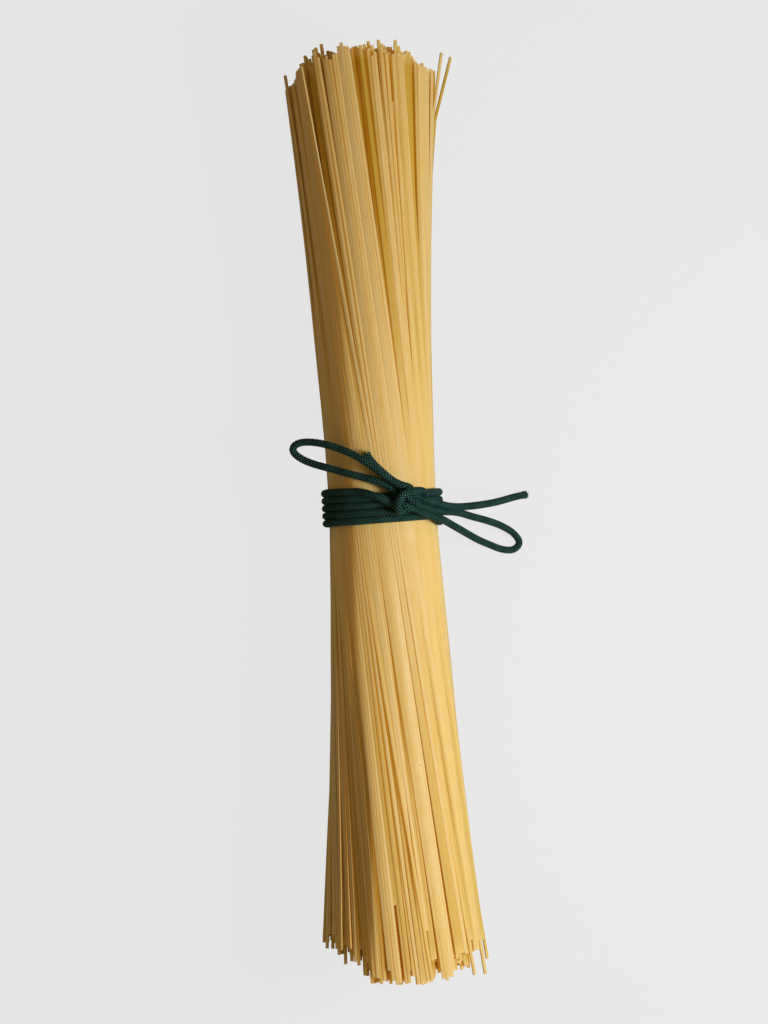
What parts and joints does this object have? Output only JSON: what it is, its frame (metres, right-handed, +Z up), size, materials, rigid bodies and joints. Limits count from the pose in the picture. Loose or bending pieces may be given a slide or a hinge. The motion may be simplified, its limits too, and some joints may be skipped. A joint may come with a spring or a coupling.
{
  "type": "bundle of dry capellini",
  "caption": "Bundle of dry capellini strands, slightly twisted and flared to both cut ends, lying down and tied round the middle with a dark green waxed cord in a bow.",
  "frame": {"origin": "on the resting surface, below the middle of the bundle", "axes": "+Y along the strands, +Z up, the bow on top and its long end towards +X"},
  "size_m": [0.0698, 0.2598, 0.0437],
  "materials": {
    "pasta": "dry durum pasta, matte to satin, pale yellow",
    "cord": "dark green waxed cotton braid, slight sheen"
  },
  "bodies": {
    "root": {"capellini_bundle": "pasta", "tie_wrap": "cord", "tie_bow": "cord"}
  },
  "joints": []
}
